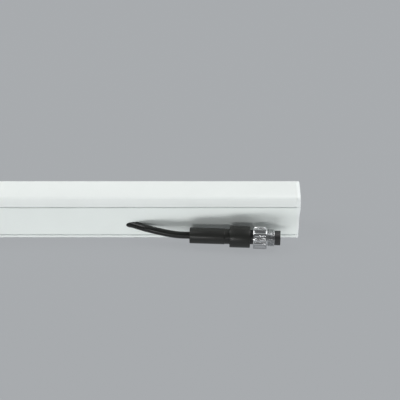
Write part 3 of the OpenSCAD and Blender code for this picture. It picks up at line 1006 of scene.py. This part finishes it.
@dataclass
class Vent:
    """The snap-in pressure vent of the left end cap, with breathing slots round its head.

    Stations are distances inwards from the face of the head, in millimetres.
    """

    head_mm: float = 3.8
    stem_mm: float = 2.6
    barb_mm: float = 3.0
    slots: int = 8
    slot_depth_mm: float = 0.35

    def build(self, wardrobe: Wardrobe) -> Object:
        """Turns the vent, notches its head and dresses it.

        Args:
            wardrobe: the built finishes.

        Returns:
            The vent.
        """
        low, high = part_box("vent_plug")
        r, stem = self.head_mm, self.stem_mm
        shape = turned(
            [
                Station(0.0, 0.14), Station(1.7, 0.14), Station(1.95, 0.0, 0.04),
                Station(r, 0.0, 0.14), Station(r, 0.4), Station(stem, 0.4), Station(stem, 1.9),
                Station(self.barb_mm, 1.9), Station(stem, 3.4), Station(0.0, 3.4),
            ],
            self.slots * 9,
        )  # fmt: skip
        self._notch(shape)
        facing = Matrix.Rotation(math.radians(90), 4, "Y")
        middle = (low + high) / 2
        shape.transform(Matrix.Translation((low.x, middle.y, middle.z)) @ facing)
        vent = to_object(shape, "pressure_vent")
        wardrobe.fit(vent, BATTEN, "vent_pa66", "vent_plug")
        return vent

    def _notch(self, shape: BMesh) -> None:
        """Sinks the slots into the rim of the head."""
        pitch = math.tau / self.slots
        for point in shape.verts:
            radius = point.co.xy.length
            angle = math.atan2(point.co.y, point.co.x)
            off = abs(angle - round(angle / pitch) * pitch)
            if radius > (self.head_mm - 0.2) * MM and off < 0.18 * pitch:
                point.co.xy *= 1 - self.slot_depth_mm * MM / radius


# ---------------------------------------------------------------- the plug


@dataclass
class Plug:
    """The round plug: sleeve, grip, contact carrier, pins and the turning ring.

    Places along it, whose names end in _at_mm, are distances from the back of the sleeve.
    The other sizes are radii, unless they say more.
    """

    joint_at_mm: float = 47.3
    steps: int = 96
    cable_mm: float = 2.4
    sleeve_mm: float = 5.4
    waist_depth_mm: float = 0.25
    waist_at_mm: float = 23.4
    grip_mm: float = 7.3
    grip_at_mm: float = 26.9
    grip_end_at_mm: float = 40.7
    spigot_mm: float = 3.4
    spigot_end_at_mm: float = 31.0
    socket_mm: float = 4.8
    carrier_mm: float = 4.79
    carrier_at_mm: float = 34.0
    neck_mm: float = 4.4
    neck_at_mm: float = 42.6
    neck_end_at_mm: float = 44.4
    shroud_mm: float = 4.95
    shroud_inside_mm: float = 4.15
    shroud_floor_at_mm: float = 50.0
    tip_at_mm: float = 61.0
    pins: int = 4
    pin_mm: float = 0.49
    pin_circle_mm: float = 2.5
    pin_at_mm: float = 36.0
    pin_end_at_mm: float = 58.0
    ring_mm: float = 7.79
    ring_at_mm: float = 42.7
    ring_end_at_mm: float = 51.9
    lip_mm: float = 4.45
    lip_end_at_mm: float = 44.3
    bore_mm: float = 5.0
    flutes: int = 14
    flute_mm: float = 1.3
    flute_depth_mm: float = 0.55
    flute_at_mm: float = 43.6
    flute_end_at_mm: float = 51.0
    thread_mm: float = 6.0
    thread_depth_mm: float = 0.6
    thread_at_mm: float = 52.0
    thread_end_at_mm: float = 57.0
    thread_turns: float = 3.9
    pitch_mm: float = 1.0

    def place(self) -> Matrix:
        """Gives the plug's place: Z along its axis from the back, X straight down."""
        joint = frame["joints"][0]
        along = Vector(joint["axis"]).normalized()
        back = Vector(joint["pos_m"]) - along * self.joint_at_mm * MM
        down = Vector((0, 0, -1))
        turn = Matrix((down, along.cross(down), along)).transposed().to_4x4()
        return Matrix.Translation(back) @ turn

    def build(self, wardrobe: Wardrobe) -> list[Object]:
        """Makes and dresses every visible piece of the plug.

        Args:
            wardrobe: the built finishes.

        Returns:
            The pieces.
        """
        plan: tuple[tuple[str, Callable[[], BMesh], str, str, str], ...] = (
            ("plug_sleeve", self._sleeve, "black_tpu", "plug_boot", BATTEN),
            ("plug_grip", self._grip, "black_tpu", "plug_body", BATTEN),
            ("plug_carrier", self._carrier, "black_pa66", "contact_carrier", BATTEN),
            ("plug_pins", self._pins, "gold_plate", "contact_pins", BATTEN),
            ("plug_ring", self._ring, "nickel_brass", "coupling_ring", RING),
        )
        made = []
        for name, shape, slot, node, body in plan:
            solid = shape()
            solid.transform(self.place())
            piece = to_object(solid, name)
            wardrobe.fit(piece, body, slot, node)
            made.append(piece)
        return made

    def _sleeve(self) -> BMesh:
        """Turns the slim sleeve, with a shallow waist before the grip."""
        r, waist = self.sleeve_mm, self.sleeve_mm - self.waist_depth_mm
        return turned(
            [
                Station(self.cable_mm, 0.0, 0.15),
                Station(r, 0.0, 0.3),
                Station(r, self.waist_at_mm, 0.08),
                Station(waist, self.waist_at_mm + self.waist_depth_mm, 0.08),
                Station(waist, self.grip_at_mm),
                Station(self.spigot_mm, self.grip_at_mm),
                Station(self.spigot_mm, self.spigot_end_at_mm),
                Station(self.cable_mm, self.spigot_end_at_mm),
            ],
            self.steps,
        )

    def _grip(self) -> BMesh:
        """Turns the fat grip."""
        return turned(
            [
                Station(self.spigot_mm, self.grip_at_mm),
                Station(self.grip_mm, self.grip_at_mm, 0.4),
                Station(self.grip_mm, self.grip_end_at_mm, 0.45),
                Station(self.socket_mm, self.grip_end_at_mm, 0.1),
                Station(self.socket_mm, self.carrier_at_mm),
                Station(self.spigot_mm, self.carrier_at_mm),
            ],
            self.steps,
        )

    def _carrier(self) -> BMesh:
        """Turns the contact carrier with its shroud and adds the coding key."""
        shape = turned(
            [
                Station(0.0, self.carrier_at_mm),
                Station(self.carrier_mm, self.carrier_at_mm),
                Station(self.carrier_mm, self.neck_at_mm),
                Station(self.neck_mm, self.neck_at_mm),
                Station(self.neck_mm, self.neck_end_at_mm),
                Station(self.shroud_mm, self.neck_end_at_mm),
                Station(self.shroud_mm, self.tip_at_mm, 0.35),
                Station(self.shroud_inside_mm, self.tip_at_mm, 0.2),
                Station(self.shroud_inside_mm, self.shroud_floor_at_mm),
                Station(0.0, self.shroud_floor_at_mm),
            ],
            self.steps,
        )
        wall, floor, tip = self.shroud_inside_mm, self.shroud_floor_at_mm, self.tip_at_mm
        key = bar(
            Vector((-wall - 0.2, -0.5, floor - 0.1)) * MM,
            Vector((-wall + 0.7, 0.5, tip - 1.0)) * MM,
        )
        round_edges(key, key.edges[:], 0.12 * MM, 2)
        self._join(shape, key)
        return shape

    @staticmethod
    def _join(shape: BMesh, extra: BMesh) -> None:
        """Adds one bmesh to another and frees it."""
        carried = bpy.data.meshes.new("carried")
        extra.to_mesh(carried)
        extra.free()
        shape.from_mesh(carried)
        bpy.data.meshes.remove(carried)

    def _pins(self) -> BMesh:
        """Turns one pin and sets all of them on their circle."""
        one = turned(
            [
                Station(0.0, self.pin_at_mm),
                Station(self.pin_mm, self.pin_at_mm),
                Station(self.pin_mm, self.pin_end_at_mm, 0.3),
                Station(0.0, self.pin_end_at_mm),
            ],
            24,
        )
        bmesh.ops.translate(one, verts=one.verts, vec=(self.pin_circle_mm * MM, 0, 0))
        pitch = math.tau / self.pins
        bmesh.ops.rotate(one, verts=one.verts, matrix=Matrix.Rotation(pitch / 2, 3, "Z"))
        first = one.verts[:] + one.edges[:] + one.faces[:]
        for number in range(1, self.pins):
            copy = bmesh.ops.duplicate(one, geom=first)
            turn = Matrix.Rotation(pitch * number, 3, "Z")
            bmesh.ops.rotate(one, verts=points_in(copy["geom"]), matrix=turn)
        return one

    def _ring(self) -> BMesh:
        """Turns the coupling ring, cuts its flutes and winds its thread."""
        r, root = self.ring_mm, self.thread_mm - self.thread_depth_mm
        shape = turned(
            [
                Station(self.lip_mm, self.ring_at_mm),
                Station(r, self.ring_at_mm, 0.4),
                Station(r, self.flute_at_mm - 0.1),
                Station(r, self.flute_at_mm + 0.15),
                Station(r, self.flute_end_at_mm - 0.15),
                Station(r, self.flute_end_at_mm + 0.1),
                Station(r, self.ring_end_at_mm, 0.4),
                Station(root, self.ring_end_at_mm),
                Station(root, self.thread_end_at_mm, 0.1),
                Station(self.bore_mm, self.thread_end_at_mm),
                Station(self.bore_mm, self.lip_end_at_mm),
                Station(self.lip_mm, self.lip_end_at_mm),
            ],
            self.flutes * 12,
        )
        self._flute(shape, self.flute_at_mm * MM, self.flute_end_at_mm * MM)
        self._wind_thread(shape)
        return shape

    def _flute(self, shape: BMesh, start: float, end: float) -> None:
        """Sinks the hollows of the flutes into the ring's skin.

        Args:
            shape: the ring.
            start: where the flutes start along it.
            end: where they end.
        """
        centre = self.ring_mm + self.flute_mm - self.flute_depth_mm
        pitch = math.tau / self.flutes
        for point in shape.verts:
            radius = point.co.xy.length
            if radius < (self.ring_mm - 0.05) * MM or not start < point.co.z < end:
                continue
            angle = math.atan2(point.co.y, point.co.x)
            off = angle - round(angle / pitch) * pitch
            reach = self.flute_mm**2 - (centre * math.sin(off)) ** 2
            if reach > 0:
                hollow = centre * math.cos(off) - math.sqrt(reach)
                point.co.xy *= min(1.0, hollow * MM / radius)

    def _wind_thread(self, shape: BMesh) -> None:
        """Winds the thread's ridge round the end of the ring."""
        sunk = 0.04
        crest, root = self.thread_mm, self.thread_mm - self.thread_depth_mm - sunk
        ridge = bmesh.new()
        section = ((root, sunk), (crest, 0.42), (crest, 0.58), (root, 1 - sunk))
        corners = [
            ridge.verts.new((r * MM, 0, (self.thread_at_mm + z * self.pitch_mm) * MM))
            for r, z in section
        ]
        sides = [ridge.edges.new(pair) for pair in zip(corners, corners[1:] + corners[:1])]
        per_turn = 64
        bmesh.ops.spin(
            ridge,
            geom=corners + sides,
            cent=(0, 0, 0),
            axis=(0, 0, 1),
            dvec=(0, 0, self.pitch_mm * MM / per_turn),
            angle=math.tau * self.thread_turns,
            steps=round(self.thread_turns * per_turn),
        )
        bmesh.ops.holes_fill(ridge, edges=[e for e in ridge.edges if e.is_boundary], sides=4)
        bmesh.ops.recalc_face_normals(ridge, faces=ridge.faces)
        self._join(shape, ridge)


# ---------------------------------------------------------------- studio


@dataclass(frozen=True)
class SoftBox:
    """One flat lamp.

    Args:
        name: its name.
        centre: its middle.
        width: its extent along X or nearest to it.
        height: its other extent.
        radiance: how bright its face is.
        mirrored: whether glossy pieces show it as a highlight.
    """

    name: str
    centre: tuple[float, float, float]
    width: float
    height: float
    radiance: float
    mirrored: bool = True

    def hang(self, aim: Vector) -> None:
        """Makes the lamp and turns it to the given point."""
        lamp = bpy.data.lights.new(self.name, "AREA")
        lamp.shape = "RECTANGLE"
        lamp.size, lamp.size_y = self.width, self.height
        lamp.energy = self.radiance * math.pi * self.width * self.height
        hung = bpy.data.objects.new(self.name, lamp)
        hung.location = self.centre
        hung.rotation_euler = (aim - Vector(self.centre)).to_track_quat("-Z", "Y").to_euler()
        hung.visible_camera = False
        hung.visible_glossy = self.mirrored
        bpy.context.scene.collection.objects.link(hung)


@dataclass
class Studio:
    """The plain floor, the plain backdrop round it and the soft light."""

    floor_half: float = 14.0
    wall_height: float = 12.0
    floor_hex: str = "A7AAAD"
    own_light: float = 0.92
    sky: float = 0.155
    aim: Vector = field(default_factory=lambda: Vector((0.19, -0.012, 0.02)))
    lamps: tuple[SoftBox, ...] = (
        SoftBox("low_key", (-0.04, -1.0, -0.49), 1.8, 0.3, 5.8),
        SoftBox("right_key", (1.26, -0.72, -0.30), 0.5, 0.3, 8.4),
        SoftBox("front_strip", (-0.24, -1.2, 0.30), 0.6, 0.12, 13.5),
        SoftBox("left_top", (-0.70, 0.15, 1.15), 0.9, 0.9, 5.6),
        SoftBox("right_top", (1.12, 0.15, 1.15), 0.9, 0.9, 6.2),
        SoftBox("back_fill", (-0.10, 1.3, 0.26), 2.2, 0.3, 2.4, mirrored=False),
    )

    def build(self) -> None:
        """Makes the floor, the backdrop, the sky and the lamps."""
        paint = self._paint()
        self._floor(paint)
        self._backdrop(paint)
        self._sky()
        for lamp in self.lamps:
            lamp.hang(self.aim)
        bpy.context.scene.view_settings.view_transform = "Standard"

    def _paint(self) -> Material:
        """Mixes the dull pale paint of floor and backdrop, which glows a little by itself."""
        made = bpy.data.materials.new("studio_paint")
        made.use_nodes = True
        colour = linear(self.floor_hex)
        dull = [c * (1 - self.own_light) for c in colour[:3]]
        shader = made.node_tree.nodes["Principled BSDF"]
        for socket, value in {
            "Base Color": (*dull, 1.0),
            "Roughness": 1.0,
            "Specular IOR Level": 0.0,
            "Emission Color": colour,
            "Emission Strength": self.own_light,
        }.items():
            shader.inputs[socket].default_value = value
        return made

    def _floor(self, paint: Material) -> None:
        """Lays the floor, which lets the lamps below it shine through."""
        sheet = bmesh.new()
        bmesh.ops.create_grid(
            sheet,
            x_segments=1,
            y_segments=1,
            size=self.floor_half,
            matrix=Matrix.Translation((0, 0, -0.05 * MM)),
        )
        floor = to_object(sheet, "studio_floor")
        floor.visible_shadow = False
        floor.data.materials.append(paint)

    def _backdrop(self, paint: Material) -> None:
        """Sets up a round wall behind everything, which neither lights nor shades the batten."""
        wall = bmesh.new()
        bmesh.ops.create_cone(
            wall,
            cap_ends=False,
            segments=96,
            radius1=self.floor_half * 0.98,
            radius2=self.floor_half * 0.98,
            depth=self.wall_height,
            matrix=Matrix.Translation((0, 0, self.wall_height / 2 - 0.1)),
        )
        bmesh.ops.reverse_faces(wall, faces=wall.faces)
        backdrop = to_object(wall, "studio_backdrop")
        for ray in ("visible_diffuse", "visible_glossy", "visible_transmission", "visible_shadow"):
            setattr(backdrop, ray, False)
        backdrop.data.materials.append(paint)

    def _sky(self) -> None:
        """Sets an even, dim white sky."""
        world = bpy.data.worlds.new("studio_sky")
        world.use_nodes = True
        paint = world.node_tree.nodes["Background"]
        paint.inputs["Color"].default_value = linear("F6F9FC")
        paint.inputs["Strength"].default_value = self.sky
        bpy.context.scene.world = world


# ---------------------------------------------------------------- all of it


def keep_sizes() -> None:
    """Brings the scene's placements up to date."""
    bpy.context.view_layer.update()


def main() -> None:
    """Builds all of it in order: camera, finishes, cable, shells, plug and studio."""
    logging.basicConfig(level=logging.INFO, format="%(name)s: %(message)s")
    Viewpoint().build()
    plug = Plug()
    wardrobe = Wardrobe(plug.place())
    wardrobe.dress_frame()
    cable = FreeCable()
    cord = cable.build(wardrobe)
    shape = CrownedShape()
    Diffuser(shape).build(wardrobe)
    for side in (-1, 1):
        EndCap(shape, side).build(wardrobe)
    Vent().build(wardrobe)
    on_cable = plug.build(wardrobe)
    cable.declare()
    Studio().build()
    keep_sizes()


if __name__ == "__main__":
    main()
